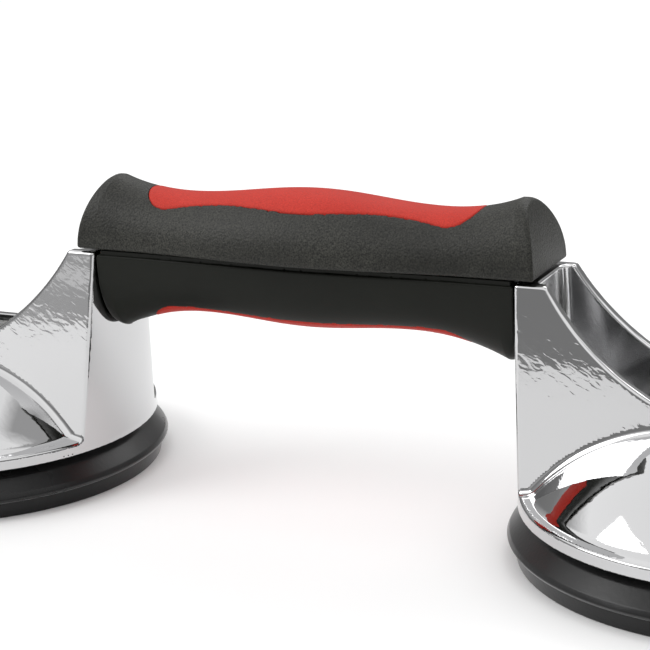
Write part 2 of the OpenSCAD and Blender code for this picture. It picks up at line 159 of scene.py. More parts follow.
def make_camera():
    """The photographer stands to the right, a little above the handle."""
    yaw, pitch, roll = math.radians(24.85), math.radians(-15.46), math.radians(-1.95)
    forward = Vector((-math.sin(yaw) * math.cos(pitch), math.cos(yaw) * math.cos(pitch), math.sin(pitch)))
    level = Vector((math.cos(yaw), math.sin(yaw), 0))
    up = level.cross(forward)
    across = math.cos(roll) * level + math.sin(roll) * up
    rise = math.cos(roll) * up - math.sin(roll) * level
    data = bpy.data.cameras.new("camera")
    data.sensor_width = 36
    data.lens = 110.54
    data.clip_start = 0.01
    data.clip_end = 50
    camera = bpy.data.objects.new("camera", data)
    bpy.context.scene.collection.objects.link(camera)
    turn = Matrix((across, rise, -forward)).transposed().to_4x4()
    camera.matrix_world = Matrix.Translation((0.2163, -0.4625, 0.1906)) @ turn
    bpy.context.scene.camera = camera


make_camera()


# ---------------------------------------------------------------- fields and meshes

def join(a, b, r):
    """Union of two solids with a fillet of radius r."""
    return np.maximum(r, np.minimum(a, b)) - np.hypot(np.maximum(r - a, 0), np.maximum(r - b, 0))


def meet(a, b, r):
    """Intersection of two solids with an edge of radius r."""
    return np.minimum(-r, np.maximum(a, b)) + np.hypot(np.maximum(r + a, 0), np.maximum(r + b, 0))


def minus(a, b, r):
    """Solid a without solid b, with an edge of radius r."""
    return meet(a, -b, r)


def between(value, low, high):
    """Slab from low to high."""
    return np.maximum(low - value, value - high)


def slope_of(field, points, step=0.02):
    """The field's value and gradient at each point."""
    x, y, z = points.T
    value = field(x, y, z)
    slope = np.stack([
        field(x + step, y, z) - field(x - step, y, z),
        field(x, y + step, z) - field(x, y - step, z),
        field(x, y, z + step) - field(x, y, z - step)], 1) / (2 * step)
    return value, slope


def settle(field, points, reach, times):
    """Moves each point onto the surface, by at most reach at a time."""
    for _ in range(times):
        value, slope = slope_of(field, points)
        move = slope * (value / np.maximum((slope ** 2).sum(1), 1e-6))[:, None]
        length = np.linalg.norm(move, axis=1, keepdims=True)
        points = points - move * np.minimum(1, reach / np.maximum(length, 1e-9))
    return points


def relax(points, quads):
    """Moves each point half way to the mean of its neighbours."""
    start = quads.ravel()
    end = np.roll(quads, -1, axis=1).ravel()
    total = np.bincount(start, minlength=len(points)) + np.bincount(end, minlength=len(points))
    mean = np.stack([
        np.bincount(start, points[end, d], len(points)) + np.bincount(end, points[start, d], len(points))
        for d in range(3)], 1) / total[:, None]
    return (points + mean) / 2


def surface(field, low, high, pitch, smooth=2):
    """Points, quads and normals of a field's surface within a box, by surface nets."""
    axes = [np.arange(a - pitch, b + 2 * pitch, pitch) for a, b in zip(low, high)]
    shape = [len(a) for a in axes]
    value = np.broadcast_to(field(*np.meshgrid(*axes, indexing="ij", sparse=True)), shape)
    inside = value < 0
    cells = [n - 1 for n in shape]
    corners = sum(inside[i:i + cells[0], j:j + cells[1], k:k + cells[2]].astype(np.int8)
                  for i in (0, 1) for j in (0, 1) for k in (0, 1))
    mixed = (corners > 0) & (corners < 8)
    count = int(mixed.sum())
    number = np.full(cells, -1)
    number[mixed] = np.arange(count)
    sums = np.zeros((count, 4))
    quads = []
    for axis in range(3):
        b, c = (axis + 1) % 3, (axis + 2) % 3
        head = [slice(None)] * 3
        tail = [slice(None)] * 3
        head[axis], tail[axis] = slice(None, -1), slice(1, None)
        first, second = value[tuple(head)], value[tuple(tail)]
        index = np.argwhere((first < 0) != (second < 0))
        at = tuple(index.T)
        share = first[at] / (first[at] - second[at])
        crossing = np.stack([axes[d][index[:, d]] for d in range(3)], 1)
        crossing[:, axis] += share * pitch
        ring = []
        for step_b, step_c in ((-1, -1), (0, -1), (0, 0), (-1, 0)):
            cell = index.copy()
            cell[:, b] += step_b
            cell[:, c] += step_c
            owner = number[tuple(cell.T)]
            ring.append(owner)
            for d in range(3):
                sums[:, d] += np.bincount(owner, crossing[:, d], count)
            sums[:, 3] += np.bincount(owner, minlength=count)
        ring = np.stack(ring, 1)
        leaving = first[at] >= 0
        ring[leaving] = ring[leaving][:, ::-1]
        quads.append(ring)
    quads = np.concatenate(quads)
    points = settle(field, sums[:, :3] / sums[:, 3:], pitch, 2)
    for _ in range(smooth):
        points = settle(field, relax(points, quads), pitch / 2, 2)
    slope = slope_of(field, points)[1]
    return points, quads, slope / np.maximum(np.linalg.norm(slope, axis=1, keepdims=True), 1e-9)


def mirrored(shape):
    """The same shape on the other side of the YZ plane."""
    points, quads, normals = shape
    flip = np.array([-1, 1, 1])
    return points * flip, quads[:, ::-1], normals * flip


def make_piece(name, shape, material, body, offset=(0, 0, 0), replaces=()):
    """A mesh from points, faces and normals in millimetres, which rides a CAD body."""
    points, faces, normals = shape
    mesh = bpy.data.meshes.new(name)
    mesh.from_pydata(((points + np.array(offset)) * MM).tolist(), [], faces.tolist())
    mesh.shade_smooth()
    if normals is not None:
        mesh.normals_split_custom_set_from_vertices(normals.tolist())
    mesh.materials.append(material)
    piece = bpy.data.objects.new(name, mesh)
    bpy.context.scene.collection.objects.link(piece)
    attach(piece, body)
    if replaces:
        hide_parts(*replaces)
    return piece


def rounded(corners, steps=6):
    """Closed outline through (r, z, radius) corners, each replaced by an arc of that radius."""
    outline = []
    n = len(corners)
    for i in range(n):
        p = np.array(corners[i][:2], float)
        a = np.array(corners[i - 1][:2], float) - p
        b = np.array(corners[(i + 1) % n][:2], float) - p
        la, lb = np.linalg.norm(a), np.linalg.norm(b)
        a, b = a / la, b / lb
        half = math.acos(max(-1, min(1, a @ b))) / 2
        radius = corners[i][2]
        cut = min(radius / math.tan(half), 0.48 * la, 0.48 * lb) if radius else 0
        if cut < 1e-6:
            outline.append(p)
            continue
        for k in range(steps + 1):
            t = k / steps
            outline.append(p + a * cut * (1 - t) ** 2 + b * cut * t ** 2)
    return np.array(outline)


def lathe(outline, sides=256):
    """Ring swept round the Z axis from a closed outline of (r, z) points, counter-clockwise."""
    n = len(outline)
    angle = 2 * math.pi * np.arange(sides) / sides
    points = np.stack([
        np.outer(np.cos(angle), outline[:, 0]),
        np.outer(np.sin(angle), outline[:, 0]),
        np.tile(outline[:, 1], (sides, 1))], 2).reshape(-1, 3)
    i, j = np.meshgrid(np.arange(sides), np.arange(n), indexing="ij")
    k, m = (i + 1) % sides, (j + 1) % n
    quads = np.stack([i * n + j, k * n + j, k * n + m, i * n + m], 2).reshape(-1, 4)
    return points, quads, None


# ---------------------------------------------------------------- materials

class Nodes:
    """Short way to build a material's node tree."""

    def __init__(self, name, **principled):
        self.material = bpy.data.materials.new(name)
        self.material.use_nodes = True
        self.tree = self.material.node_tree
        self.shader = self.tree.nodes["Principled BSDF"]
        for key, value in principled.items():
            self.shader.inputs[key.replace("_", " ")].default_value = value
        self.place = self.add("ShaderNodeTexCoord").outputs["Object"]

    def add(self, kind, **settings):
        node = self.tree.nodes.new(kind)
        for key, value in settings.items():
            setattr(node, key, value)
        return node

    def put(self, node, name, value):
        """Sets a socket, or links it when the value is another node's output."""
        if isinstance(value, bpy.types.NodeSocket):
            self.tree.links.new(value, node.inputs[name])
        else:
            node.inputs[name].default_value = value
        return node

    def noise(self, scale, detail=2.0, rough=0.5, warp=0.0, vector=None):
        node = self.add("ShaderNodeTexNoise")
        for name, value in (("Scale", scale), ("Detail", detail), ("Roughness", rough),
                            ("Distortion", warp), ("Vector", vector or self.place)):
            self.put(node, name, value)
        return node.outputs["Fac"]

    def cells(self, scale, output="Distance"):
        node = self.add("ShaderNodeTexVoronoi")
        self.put(node, "Scale", scale)
        self.put(node, "Vector", self.place)
        return node.outputs[output]

    def stretch(self, x, y, z, turn=0.0):
        """Object coordinates turned about Y, then scaled along each axis."""
        node = self.add("ShaderNodeMapping", vector_type="TEXTURE")
        self.put(node, "Vector", self.place)
        self.put(node, "Rotation", (0, math.radians(turn), 0))
        self.put(node, "Scale", (1 / x, 1 / y, 1 / z))
        return node.outputs[0]

    def axis(self, letter):
        """One object coordinate, in metres."""
        node = self.add("ShaderNodeSeparateXYZ")
        self.put(node, 0, self.place)
        return node.outputs[letter]

    def span(self, value, low, high, to_low=0.0, to_high=1.0):
        node = self.add("ShaderNodeMapRange")
        for name, number in (("Value", value), ("From Min", low), ("From Max", high),
                             ("To Min", to_low), ("To Max", to_high)):
            self.put(node, name, number)
        return node.outputs["Result"]

    def maths(self, operation, a, b=0.0):
        node = self.add("ShaderNodeMath", operation=operation)
        self.put(node, 0, a)
        self.put(node, 1, b)
        return node.outputs[0]

    def blend(self, share, a, b):
        """Colour a where share is 0, b where it is 1."""
        node = self.add("ShaderNodeMix", data_type="RGBA")
        for socket, value in ((0, share), (6, a), (7, b)):
            if isinstance(value, bpy.types.NodeSocket):
                self.tree.links.new(value, node.inputs[socket])
            else:
                node.inputs[socket].default_value = (*value, 1) if socket else value
        return node.outputs[2]

    def relief(self, height, depth, strength=1.0, below=None):
        """Bump of the given depth in metres."""
        node = self.add("ShaderNodeBump")
        self.put(node, "Strength", strength)
        self.put(node, "Distance", depth)
        self.put(node, "Height", height)
        if below is not None:
            self.put(node, "Normal", below)
        return node.outputs["Normal"]

    def finish(self, colour=None, rough=None, normal=None):
        for name, value in (("Base Color", colour), ("Roughness", rough), ("Normal", normal)):
            if value is not None:
                self.put(self.shader, name, value)
        return self.material


def in_channel(n):
    """1 inside a head's lever channel, where the plate is thin and its colour is painted lighter to lift
    the shade there, and 0 elsewhere.
    """
    along = n.maths("SUBTRACT", n.maths("ABSOLUTE", n.axis("X")), HEAD_X * MM)
    width = n.span(n.axis("Z"), DOME_FOOT * MM, BRACKET_Z * MM,
                   channel_width(DOME_FOOT) * MM, channel_width(BRACKET_Z) * MM)
    across = n.maths("SUBTRACT", n.maths("ABSOLUTE", n.axis("Y")), width)
    inside = n.span(across, 0.0001, 0.0006, 1, 0)
    for start, end in ((END_WALL_X - 0.6, END_WALL_X), (CURB_END + 4, CURB_END - 6)):
        inside = n.maths("MULTIPLY", inside, n.span(along, start * MM, end * MM))
    return inside


def chrome():
    """Bright plate over a casting: orange peel, slow waves, pimples and a few dark pits.

    Inside the lever's channel the plate is smoother and duller, and its colour is painted lighter to lift
    the shade in the channel.
    """
    n = Nodes("chrome_plate", Metallic=1.0)
    inside = in_channel(n)
    peel = n.noise(560, 1.5, 0.4, 0.6, n.stretch(0.55, 0.8, 1.25, 28))
    wave = n.noise(85, 1.0, 0.5, 0.2)
    chosen = n.cells(150, "Color")
    rare = n.maths("GREATER_THAN", chosen, 0.95)
    pit = n.maths("MULTIPLY", n.span(n.cells(150), 0.02, 0.08, 1, 0), rare)
    pimple = n.span(n.cells(310), 0.0, 0.32, 1, 0)
    pimple = n.maths("MULTIPLY", pimple, n.maths("GREATER_THAN", n.cells(310, "Color"), 0.72))
    level = n.span(inside, 0, 1, 1, 0.15)
    normal = n.relief(wave, 0.000035, level)
    normal = n.relief(peel, 0.000013, level, normal)
    normal = n.relief(pimple, 0.0000022, 1.0, normal)
    normal = n.relief(pit, -0.00010, 1.0, normal)
    # painted light: inside the lever's channel the chrome colour is painted lighter to lift the shade
    # there; the dark pits are real marks
    colour = n.blend(pit, n.blend(inside, (0.565, 0.565, 0.57), (0.76, 0.76, 0.765)), (0.08, 0.08, 0.08))
    rough = n.span(n.noise(60, 3.0, 0.6), 0.3, 0.8, 0.02, 0.055)
    return n.finish(colour, n.maths("ADD", rough, n.maths("MULTIPLY", inside, 0.13)), normal)


def grained_black():
    """Moulded plastic with a spark-eroded grain, a little glossier in patches."""
    n = Nodes("black_grain")
    n.shader.inputs["Specular IOR Level"].default_value = 0.30
    grain = n.noise(2300, 3.0, 0.6)
    pebble = n.cells(1500)
    patch = n.noise(45, 3.0, 0.55)
    normal = n.relief(pebble, 0.00007)
    normal = n.relief(grain, 0.00010, 1.0, normal)
    shade = n.maths("MULTIPLY", n.span(grain, 0.35, 0.7), n.span(patch, 0.35, 0.65, 0.4, 1.0))
    colour = n.blend(shade, (0.004, 0.004, 0.003), (0.053, 0.053, 0.044))
    rough = n.span(patch, 0.3, 0.7, 0.40, 0.52)
    return n.finish(colour, rough, normal)


def smooth_black():
    """The lower shell: the same plastic from a smoother tool."""
    n = Nodes("black_smooth")
    n.shader.inputs["Specular IOR Level"].default_value = 0.15
    grain = n.noise(1800, 3.0, 0.6)
    patch = n.noise(38, 3.0, 0.55)
    normal = n.relief(grain, 0.00002)
    colour = n.blend(n.span(patch, 0.3, 0.7), (0.0068, 0.0074, 0.0056), (0.010, 0.011, 0.0085))
    rough = n.span(patch, 0.3, 0.7, 0.36, 0.46)
    return n.finish(colour, rough, normal)


def soft_red():
    """Matte overmoulded elastomer, a little paler in patches."""
    n = Nodes("red_soft")
    n.shader.inputs["Specular IOR Level"].default_value = 0.16
    grain = n.noise(2600, 2.0, 0.6)
    patch = n.noise(55, 3.0, 0.6)
    normal = n.relief(grain, 0.00005)
    shade = n.maths("MULTIPLY", n.span(patch, 0.3, 0.75, 0.5, 1), n.span(grain, 0.3, 0.7))
    colour = n.blend(shade, (0.38, 0.022, 0.014), (0.62, 0.048, 0.032))
    rough = n.span(grain, 0.3, 0.7, 0.50, 0.62)
    return n.finish(colour, rough, normal)


def black_rubber():
    """Moulded rubber: soft sheen, fine grain and slightly dusty patches."""
    n = Nodes("black_rubber")
    n.shader.inputs["Specular IOR Level"].default_value = 0.3
    n.shader.inputs["Sheen Weight"].default_value = 0.4
    n.shader.inputs["Sheen Roughness"].default_value = 0.35
    grain = n.noise(900, 3.0, 0.6)
    patch = n.noise(40, 3.0, 0.6)
    normal = n.relief(grain, 0.00003)
    colour = n.blend(n.span(patch, 0.35, 0.8), (0.007, 0.007, 0.0072), (0.016, 0.016, 0.0165))
    rough = n.span(patch, 0.3, 0.7, 0.26, 0.36)
    return n.finish(colour, rough, normal)


def lever_nylon():
    """Glass-filled nylon with flow marks."""
    n = Nodes("lever_nylon")
    n.shader.inputs["Specular IOR Level"].default_value = 0.45
    grain = n.noise(1500, 3.0, 0.6)
    flow = n.noise(60, 2.0, 0.5, 0.6, n.stretch(0.4, 1.5, 1.5))
    normal = n.relief(grain, 0.00004)
    colour = n.blend(n.span(flow, 0.3, 0.7), (0.014, 0.014, 0.013), (0.027, 0.027, 0.025))
    rough = n.span(flow, 0.3, 0.7, 0.34, 0.48)
    return n.finish(colour, rough, normal)


def worked_metal(name, dark, light, rough_low, rough_high, scale=900):
    """Turned, drawn or cast metal: fine brushing and stains."""
    n = Nodes(name, Metallic=1.0)
    brush = n.noise(scale, 2.0, 0.7, 0.0, n.stretch(0.15, 0.15, 3.0))
    stain = n.noise(120, 4.0, 0.65)
    normal = n.relief(brush, 0.00002)
    colour = n.blend(n.span(stain, 0.3, 0.75), dark, light)
    rough = n.span(brush, 0.3, 0.7, rough_low, rough_high)
    return n.finish(colour, rough, normal)


def natural_nylon():
    """Waxy off-white bush."""
    n = Nodes("natural_nylon")
    n.shader.inputs["Subsurface Weight"].default_value = 0.1
    patch = n.noise(90, 3.0, 0.6)
    colour = n.blend(patch, (0.62, 0.60, 0.53), (0.74, 0.72, 0.66))
    return n.finish(colour, n.span(patch, 0.3, 0.7, 0.35, 0.5), n.relief(patch, 0.00002))


CHROME = chrome()
GRAINED = grained_black()
SMOOTH = smooth_black()
RED = soft_red()
RUBBER = black_rubber()
NYLON = lever_nylon()
STEEL = worked_metal("zinc_steel", (0.42, 0.42, 0.41), (0.66, 0.66, 0.65), 0.22, 0.38)
DARK_STEEL = worked_metal("black_steel", (0.045, 0.045, 0.046), (0.10, 0.10, 0.10), 0.30, 0.45)
SPRING = worked_metal("spring_wire", (0.30, 0.30, 0.31), (0.50, 0.50, 0.51), 0.20, 0.34)
CAST = worked_metal("cast_core", (0.33, 0.33, 0.34), (0.52, 0.52, 0.53), 0.45, 0.62, 500)
BUSH = natural_nylon()


# ---------------------------------------------------------------- heads

HEAD_PITCH = 0.62


def dome_field(r, z, radius, foot, rise):
    """Solid under a dome whose height falls with the cube of the distance from its axis."""
    height = foot + rise * (1 - (r / radius) ** 3)
    slope = 3 * rise * r ** 2 / radius ** 3
    return (z - height) / np.sqrt(1 + slope ** 2)


def bracket_field(x, y, z, above):
    """Two drafted cheeks and an end wall round the lever's channel.

    above is the height over the dome: the cheeks spread a little where they meet it.
    """
    spread = FOOT_SPREAD * np.exp(-np.maximum(above, 0) / FOOT_REACH)
    cheek = (np.abs(y) - BRACKET_TOP_W - DRAFT * (BRACKET_Z - z)) / math.sqrt(1 + DRAFT ** 2) - spread
    sweep = SWEEP_R - np.hypot(x - SWEEP_X, z - SWEEP_Z)
    outline = np.maximum(meet(z - BRACKET_Z, sweep, 0.6), x - SWEEP_X)
    outline = np.minimum(outline, meet(z - CURB_Z, x - CURB_END, CURB_R))
    channel = meet(cheek + spread + CHEEK_T, END_WALL_X - x, CORNER_R)
    return minus(meet(outline, cheek, EDGE_R), channel, EDGE_R)


def head_field(x, y, z):
    """One head casting, with its centre at x = y = 0 and the handle towards -X."""
    r = np.hypot(x, y)
    narrow = TAPER * (BRACKET_Z - z) / (BRACKET_Z - DRUM_Z)
    skirt = r - DRUM_R + narrow - FLARE * np.clip((DRUM_Z + FLARE_H - z) / FLARE_H, 0, 1) ** 3
    ledge = z - LEDGE_Z - LEDGE_SLOPE * (DRUM_R - TAPER - r)
    dome = dome_field(r, z, DOME_R, DOME_FOOT, DOME_RISE)
    top = join(ledge, dome, LEDGE_R)
    solid = meet(skirt, join(top, bracket_field(x, y, z, dome), FILLET_R), LEDGE_R)
    inner = meet(r - INNER_R, dome_field(r, z, INNER_R - 0.4, INNER_FOOT, INNER_RISE), 1.0)
    solid = minus(meet(solid, DRUM_Z - z, FOOT_R), inner, 0.4)
    under_top = dome_field(r, z, DOME_R, DOME_FOOT - 1, DOME_RISE)
    ring = np.maximum(np.abs(r - RING_MID) - RING_T / 2, np.maximum(RING_Z - z, under_top))
    boss = np.maximum(r - BOSS_R, between(z, BOSS_Z, PLATE_Z))
    seat = np.maximum(r - SEAT_R, between(z, SEAT_Z, PLATE_Z))
    solid = np.minimum(np.minimum(solid, ring), np.minimum(boss, seat))
    bore = np.maximum(r - BUSH_R, z - PLATE_Z - 2)
    plate = np.maximum(np.maximum(np.abs(x) - SADDLE_L, np.abs(y) - SADDLE_W), PLATE_Z - 0.05 - z)
    tongue = np.maximum(between(x, -DRUM_R - TONGUE_L, 2 - DRUM_R), np.abs(y) - TONGUE_W)
    tongue = np.maximum(tongue, between(z, TONGUE_Z, TONGUE_Z + TONGUE_H))
    for place in BOLT_PLACES:
        tongue = np.maximum(tongue, BOLT_HOLE_R - np.hypot(x - place, y))
    return np.minimum(np.maximum(solid, -np.minimum(bore, plate)), tongue)


def make_heads():
    reach = DRUM_R + FLARE + 0.5
    low = (-DRUM_R - TONGUE_L - 0.5, -reach, DRUM_Z - 0.5)
    shape = surface(head_field, low, (reach, reach, BRACKET_Z + 0.5), HEAD_PITCH)
    for side, sign in SIDES.items():
        make_piece(f"{side}_chromed_head", shape if sign > 0 else mirrored(shape), CHROME, "root",
                   (sign * HEAD_X, 0, 0), [f"{side}_head_housing"])


# ---------------------------------------------------------------- handle

HANDLE_PITCH = 0.42
END_SLOPE = 5
SUPERELLIPSE = 2.6
LIP_H = 1.25

# soft inserts: mean half width and the height of its waves, the waves' length, the rounded ends, the gaps
UPPER_INSERT = (9.4, 1.8)
LOWER_INSERT = (9.4, 0.6)
INSERT_WAVE = 56
INSERT_STRAIGHT = 38
INSERT_TIP = 9.6
INSERT_DEPTH = 1.5
INSERT_GAP = 0.06
INSERT_LIFT = 0.05

# hollow for the core bar, and the holes of the grip screws
CORE_W = 8.1
CORE_L = 59
CORE_UP = 6.3
CORE_DOWN = 12.6
SCREW_X = 52
SCREW_R = 2.2
COUNTERBORE_R = 4.2
COUNTERBORE_Z = 16.1


def hump(t):
    """1 at t = 0, falling smoothly to 0 at t = 1."""
    return 0.5 + 0.5 * np.cos(np.pi * np.clip(t, 0, 1))


def upper_width(x):
    """Half width of the upper grip, fullest in the middle."""
    return 13.9 + 3.6 * hump(x / 52)


def upper_height(x):
    """Height of the upper grip, with a low back in the middle and a rise to each end."""
    return 14.3 + 2.7 * hump(x / 36.5) + 3 * (np.clip(x - 36.5, 0, 23.5) / 21) ** 2


def lower_width(x):
    """Half width of the lower grip, fullest in the middle."""
    return 13.1 + 1.6 * hump(x / 52)


def lower_height(x):
    """Depth of the lower grip, which swells to each end and then rounds off."""
    turn = np.clip((x - 55.5) / 5.5, 0, 1)
    swell = 5.9 * (np.clip(x - 29, 0, 26.5) / 26.5) ** 2.2
    return 16 + 1.6 * hump(x / 29) + swell - 8 * (1 - np.sqrt(1 - turn ** 2))


def upper_round(x, y, z):
    """The upper grip's curved surface and sloping ends; z is above the parting plane."""
    along = np.abs(x)
    share = np.clip(z / upper_height(along), 0, 1.3)
    station = np.minimum(along + END_SLOPE * share ** 2 * (along / GRIP_END) ** 6, GRIP_END)
    w, h = upper_width(station), upper_height(station)
    skin = (np.hypot(y / w, z / h) - 1) * np.minimum(w, h)
    lean = 2 * END_SLOPE * share / h
    end = (along - GRIP_END + END_SLOPE * share ** 2) / np.sqrt(1 + lean ** 2)
    return skin, end


def lower_round(x, y, z):
    """The lower grip's curved surface; z is below the parting plane."""
    along = np.abs(x)
    w, h = lower_width(along), lower_height(along)
    k = SUPERELLIPSE
    return (((np.abs(y) / w) ** k + (np.maximum(z, 0) / h) ** k) ** (1 / k) - 1) * np.minimum(w, h)


def insert_outline(x, y, mean, wave):
    """Plan outline of a soft insert: wavy sides and round ends."""
    half = mean + wave * np.cos(2 * np.pi * x / INSERT_WAVE)
    tip = np.clip((np.abs(x) - INSERT_STRAIGHT) / INSERT_TIP, 0, None)
    return (np.sqrt((y / half) ** 2 + tip ** 2) - 1) * half


def upper_grip_field(x, y, z):
    z = z - UPPER_Z
    skin, end = upper_round(x, y, z)
    solid = meet(meet(skin, end, 0.9), -z, 0.8)
    pocket = np.maximum(insert_outline(x, y, *UPPER_INSERT), -INSERT_DEPTH - skin)
    solid = minus(solid, pocket, 0.25)
    cavity = np.maximum(np.maximum(np.abs(x) - CORE_L, np.abs(y) - CORE_W), z - CORE_UP)
    return np.maximum(solid, -cavity)


def upper_insert_field(x, y, z):
    z = z - UPPER_Z
    skin = upper_round(x, y, z)[0]
    edge = insert_outline(x, y, *UPPER_INSERT) + INSERT_GAP
    return np.maximum(meet(skin - 0.08, edge, 0.45), -INSERT_DEPTH + INSERT_LIFT - skin)


def lower_grip_field(x, y, z):
    z = LOWER_Z - z
    skin = lower_round(x, y, z)
    drum = DRUM_R + 0.3 - TAPER * (z + 0.7) / 55 - np.hypot(np.abs(x) - HEAD_X, y)
    solid = meet(meet(skin, drum, 0.6), -z, 0.6)
    pocket = np.maximum(insert_outline(x, y, *LOWER_INSERT), -INSERT_DEPTH - skin)
    solid = minus(solid, pocket, 0.25)
    lip = np.maximum(np.maximum(skin + 0.7, drum + 0.7), between(z, -LIP_H, 1))
    solid = np.minimum(solid, lip)
    cavity = np.maximum(np.abs(y) - CORE_W, z - CORE_DOWN)
    screw = np.hypot(np.abs(x) - SCREW_X, y)
    hole = np.minimum(screw - SCREW_R, np.maximum(screw - COUNTERBORE_R, COUNTERBORE_Z - z))
    return np.maximum(solid, -np.minimum(cavity, hole))


def lower_insert_field(x, y, z):
    z = LOWER_Z - z
    skin = lower_round(x, y, z)
    edge = insert_outline(x, y, *LOWER_INSERT) + INSERT_GAP
    return np.maximum(meet(skin - 0.05, edge, 0.45), -INSERT_DEPTH + INSERT_LIFT - skin)


def make_handle():
    end = GRIP_END + 0.5
    upper = (-end, -18.5, UPPER_Z - 0.5), (end, 18.5, upper_high.z + 0.5)
    lower = (-end, -16, lower_low.z - 0.5), (end, 16, LOWER_Z + LIP_H + 0.5)
    for name, field, (low, high), material, slot in (
            ("upper_grip", upper_grip_field, upper, GRAINED, "black_grip"),
            ("upper_grip_insert", upper_insert_field, upper, RED, "red_soft"),
            ("lower_grip", lower_grip_field, lower, SMOOTH, "black_grip"),
            ("lower_grip_insert", lower_insert_field, lower, RED, "red_soft")):
        shape = surface(field, low, high, HANDLE_PITCH)
        make_piece(f"{name}_moulding", shape, material, "root", replaces=[name])


# ---------------------------------------------------------------- suction cups

LIP_SPLIT_R = 51.8
SHOULDER_Z = DRUM_Z + 1.2
DISC_R = 24
DISC_Z = stem_low.z
POCKET_GAP = 0.06


def lip_outline():
    """Sealing lip, flared skirt and shoulder, outside the part that the stem pulls."""
    lip = CUP_R - 2.4
    return rounded([
        (LIP_SPLIT_R, 0.85, 0), (53.4, 0.02, 0.3), (lip, 0.02, 0.5), (lip + 0.7, 4.3, 0.5),
        (CUP_R - 0.7, 4.8, 0.3), (CUP_R, 5.7, 0.6), (CUP_R - 0.7, 7.0, 1.4), (54.6, 10.6, 3),
        (51.6, DRUM_Z - 0.8, 1.5), (50.6, SHOULDER_Z, 0.5), (45.4, SHOULDER_Z, 0)])


def middle_outline():
    """The thick middle with the core plate's pocket; on the real cup the stem pulls this part up and lets
    it down.
    """
    return rounded([
        (0.001, 6.5, 0), (26, 6.3, 8), (38, 4.9, 8), (47, 2.6, 8), (LIP_SPLIT_R - 0.02, 0.88, 0),
        (45.38, SHOULDER_Z, 0.5), (41, DRUM_Z + 0.6, 3), (32, DRUM_Z + 1.6, 3), (26, DRUM_Z + 2.6, 1),
        (25.2, DISC_Z + 3, 0.3), (DISC_R + POCKET_GAP, DISC_Z + 3, 0.3),
        (DISC_R + POCKET_GAP, DISC_Z - POCKET_GAP, 0), (0.001, DISC_Z - POCKET_GAP, 0)])


def make_cups():
    for side, sign in SIDES.items():
        centre = (sign * HEAD_X, 0, 0)
        node = [f"{side}_rubber_cup"]
        make_piece(f"{side}_cup_lip", lathe(lip_outline()), RUBBER, "root", centre, node)
        middle = make_piece(f"{side}_cup_middle", lathe(middle_outline()), RUBBER, "root",
                            centre, node)
        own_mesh(middle)


# ---------------------------------------------------------------- springs

def spring_shape(turns=4, wire=1.1, radius=13.5, sides=14, per_turn=56):
    """Coil with closed ends, from the core plate up to the seat under the dome."""
    count = turns * per_turn
    t = np.arange(count + 1) / count
    angle = 2 * np.pi * turns * t
    foot, head = spring_low.z + wire, spring_high.z - wire
    closed = 2 * wire
    rise = np.clip((t - 0.12) / 0.76, 0, 1)
    height = foot + closed * t + (head - foot - closed) * rise
    round_ = 2 * np.pi * np.arange(sides) / sides
    out = radius + wire * np.cos(round_)[None, :]
    points = np.stack([
        out * np.cos(angle)[:, None], out * np.sin(angle)[:, None],
        height[:, None] + wire * np.sin(round_)[None, :]], 2).reshape(-1, 3)
    i, j = np.meshgrid(np.arange(count), np.arange(sides), indexing="ij")
    k = (j + 1) % sides
    faces = np.stack([i * sides + j, i * sides + k, (i + 1) * sides + k, (i + 1) * sides + j], 2)
    faces = faces.reshape(-1, 4).tolist()
    faces += [list(range(sides))[::-1], [count * sides + j for j in range(sides)]]
    return points, faces


def make_springs():
    points, faces = spring_shape()
    for side, sign in SIDES.items():
        name = f"{side}_spring_coil"
        mesh = bpy.data.meshes.new(name)
        mesh.from_pydata(((points * (sign, 1, 1) + (sign * HEAD_X, 0, 0)) * MM).tolist(), [],
                         faces if sign > 0 else [f[::-1] for f in faces])
        mesh.shade_smooth()
        mesh.materials.append(SPRING)
        coil = bpy.data.objects.new(name, mesh)
        bpy.context.scene.collection.objects.link(coil)
        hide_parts(f"{side}_return_spring")
        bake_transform(coil)


# ---------------------------------------------------------------- levers

LEVER_W = 12
LEVER_TIP = 57
ARM_R = 82
ARM_X = 0.5
HUB_R = 7
CAM_H = PIN_Z - PLATE_TOP - 0.3
EAR_GAP = 4.3
EAR_FRONT = 6.8
PIN_R = 2.5
WALL = 3.5
POCKET_START = 17
POCKET_END = 48
PAD_X = 44
RIB_SPACING = 2.6
LEVER_PITCH = 0.5
OPENING = math.radians(100)
CAM_RATE = (CAM_H - HUB_R) / OPENING


def cam_field(x, z):
    """Cam about the pin: the distance from the pin to a flat plate falls steadily as the lever turns."""
    field = np.full(np.broadcast(x, z).shape, -1e3)
    for degrees in range(-80, 181, 4):
        turn = math.radians(degrees)
        reach = CAM_H - CAM_RATE * min(max(turn, 0), OPENING)
        field = np.maximum(field, -x * math.sin(turn) - z * math.cos(turn) - reach)
    return field


